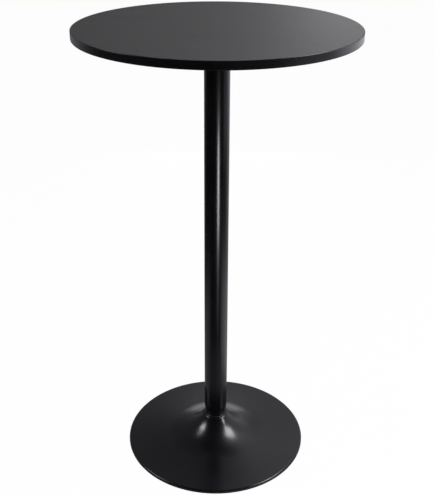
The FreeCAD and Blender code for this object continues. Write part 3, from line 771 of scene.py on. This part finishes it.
def make_floor():
    """A flat ring at the height of the table's foot, open under the base so that its underside has light."""
    angle = np.linspace(0.0, 2 * math.pi, FLOOR_SIDES, endpoint=False)
    foot_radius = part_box("floor_ring")[1].x
    radius = np.array([[FLOOR_OPENING_SHARE * foot_radius], [FLOOR_REACH]])
    points = np.stack((radius * np.cos(angle), radius * np.sin(angle), 0 * radius * angle), axis=-1)
    faces = [face[::-1] for face in grid_faces(len(radius), FLOOR_SIDES, close_rows=False)]
    mesh = bpy.data.meshes.new("studio_floor")
    mesh.from_pydata(points.reshape(-1, 3).tolist(), [], faces)
    mesh.materials.append(floor_finish())
    floor = bpy.data.objects.new("studio_floor", mesh)
    bpy.context.scene.collection.objects.link(floor)


def direction_to(azimuth, elevation):
    """The unit vector to an azimuth, in degrees from the back towards the right, and an elevation."""
    turn, rise = math.radians(azimuth), math.radians(elevation)
    return Vector((math.sin(turn) * math.cos(rise), math.cos(turn) * math.cos(rise), math.sin(rise)))


def light_room():
    """White to the eye. It lights the table as a dim room with a pale wall to the right and behind.

    Under the floor it is pale too.
    """
    world = bpy.data.worlds.new("studio_room")
    bpy.context.scene.world = world
    tree = Tree(world)
    seen = tree.add("ShaderNodeLightPath", output="Is Camera Ray")
    x = tree.parts(tree.add("ShaderNodeTexCoord", output="Generated"))
    y = x.other("Y")
    up = x.other("Z")
    dim = tree.between(y, *DIM_DEPTH_RAMP) * tree.between(up, *DIM_HEIGHT_RAMP)
    wall = tree.between(up, *WALL_RISE_RAMP) * tree.between(up, *WALL_HEAD_RAMP)
    wall = wall + tree.between(x, *WALL_RIGHT_RAMP)
    off_height = abs(up - WALL_END["height"])
    end_width = tree.largest(WALL_END["width"] - WALL_END["narrowing"] * off_height, WALL_END["least_width"])
    past_end = (x - WALL_END["lean"] * off_height - WALL_END["start"]) / end_width
    on_wall = tree.between(past_end, 0.0, 1.0, 0.0, 1.0) * tree.between(y, *WALL_DEPTH_RAMP)
    room = dim + on_wall * (wall - dim)
    under = tree.between(up, *UNDER_FLOOR_RAMP)
    white = tree.largest(seen, under)
    level = white + (1.0 - white) * room
    colour = tree.mix_colour(seen, ROOM_COLOUR, WHITE)
    glow = tree.add("ShaderNodeBackground", None, {"Color": colour, "Strength": level})
    tree.add("ShaderNodeOutputWorld", None, {"Surface": glow})


def hang_lamp(name, low, high, width, watts, lit_nodes=()):
    """A soft rectangular lamp from its lower to its upper end, square to the way to the foot of the table.

    It lights everything, or only the nodes that are named, or, where it is flagged, all but the flagged node.
    """
    low, high = Vector(low), Vector(high)
    light = bpy.data.lights.new(name, "AREA")
    light.shape = "RECTANGLE"
    light.size = width
    light.size_y = (high - low).length
    light.energy = watts
    light.color = LAMP_COLOUR
    middle = (low + high) / 2
    along = (high - low).normalized()
    away = middle - LAMP_AIM
    away = (away - away.dot(along) * along).normalized()
    turn = Matrix((along.cross(away), along, away)).transposed().to_4x4()
    lamp = bpy.data.objects.new(name, light)
    lamp.matrix_world = Matrix.Translation(middle) @ turn
    lamp.visible_camera = False
    bpy.context.scene.collection.objects.link(lamp)
    if name in FLAGGED_LAMPS:
        kept_dark = bpy.data.collections.new("kept_dark_by_" + name)
        kept_dark.objects.link(NODES[FLAGGED_NODE])
        kept_dark.collection_objects[0].light_linking.link_state = "EXCLUDE"
        lamp.light_linking.receiver_collection = kept_dark
    if lit_nodes:
        lit = bpy.data.collections.new("lit_by_" + name)
        for node in lit_nodes:
            lit.objects.link(NODES[node])
        lamp.light_linking.receiver_collection = lit


def hang_lamps():
    """The softboxes, the panel low at the back, the strip for the column and the panel for the top."""
    for name, lamp in LAMPS.items():
        low, high = (LAMP_AIM + lamp["distance"] * direction_to(*lamp[end]) for end in ("low", "high"))
        hang_lamp(name, low, high, lamp["width"], lamp["watts"])
    hang_lamp("column_strip", **COLUMN_STRIP, lit_nodes=COLUMN_STRIP_NODES)
    hang_lamp("top_panel", **TOP_PANEL, lit_nodes=TOP_PANEL_NODES)


def set_camera():
    """The camera at the photograph's place, turned by yaw, then pitch, then roll."""
    ahead = Vector((
        math.sin(CAMERA_YAW) * math.cos(CAMERA_PITCH),
        math.cos(CAMERA_YAW) * math.cos(CAMERA_PITCH),
        -math.sin(CAMERA_PITCH),
    ))
    level_right = Vector((math.cos(CAMERA_YAW), -math.sin(CAMERA_YAW), 0.0))
    level_up = level_right.cross(ahead)
    right = math.cos(CAMERA_ROLL) * level_right + math.sin(CAMERA_ROLL) * level_up
    up = math.cos(CAMERA_ROLL) * level_up - math.sin(CAMERA_ROLL) * level_right
    lens = bpy.data.cameras.new("photo_camera")
    lens.sensor_width = SENSOR_MM
    lens.lens = FOCAL_LENGTH_PX / IMAGE_HEIGHT_PX * SENSOR_MM
    camera = bpy.data.objects.new("photo_camera", lens)
    turn = Matrix((right, up, -ahead)).transposed().to_4x4()
    camera.matrix_world = Matrix.Translation(CAMERA_PLACE) @ turn
    bpy.context.scene.collection.objects.link(camera)
    bpy.context.scene.camera = camera


base_shell()
edge_band()
base_bolt()
plate_screws()
lock_washer()
plate_weld()
bridge_welds()
make_floor()
light_room()
hang_lamps()
set_camera()
bpy.context.scene.view_settings.view_transform = "Standard"

bpy.context.view_layer.update()
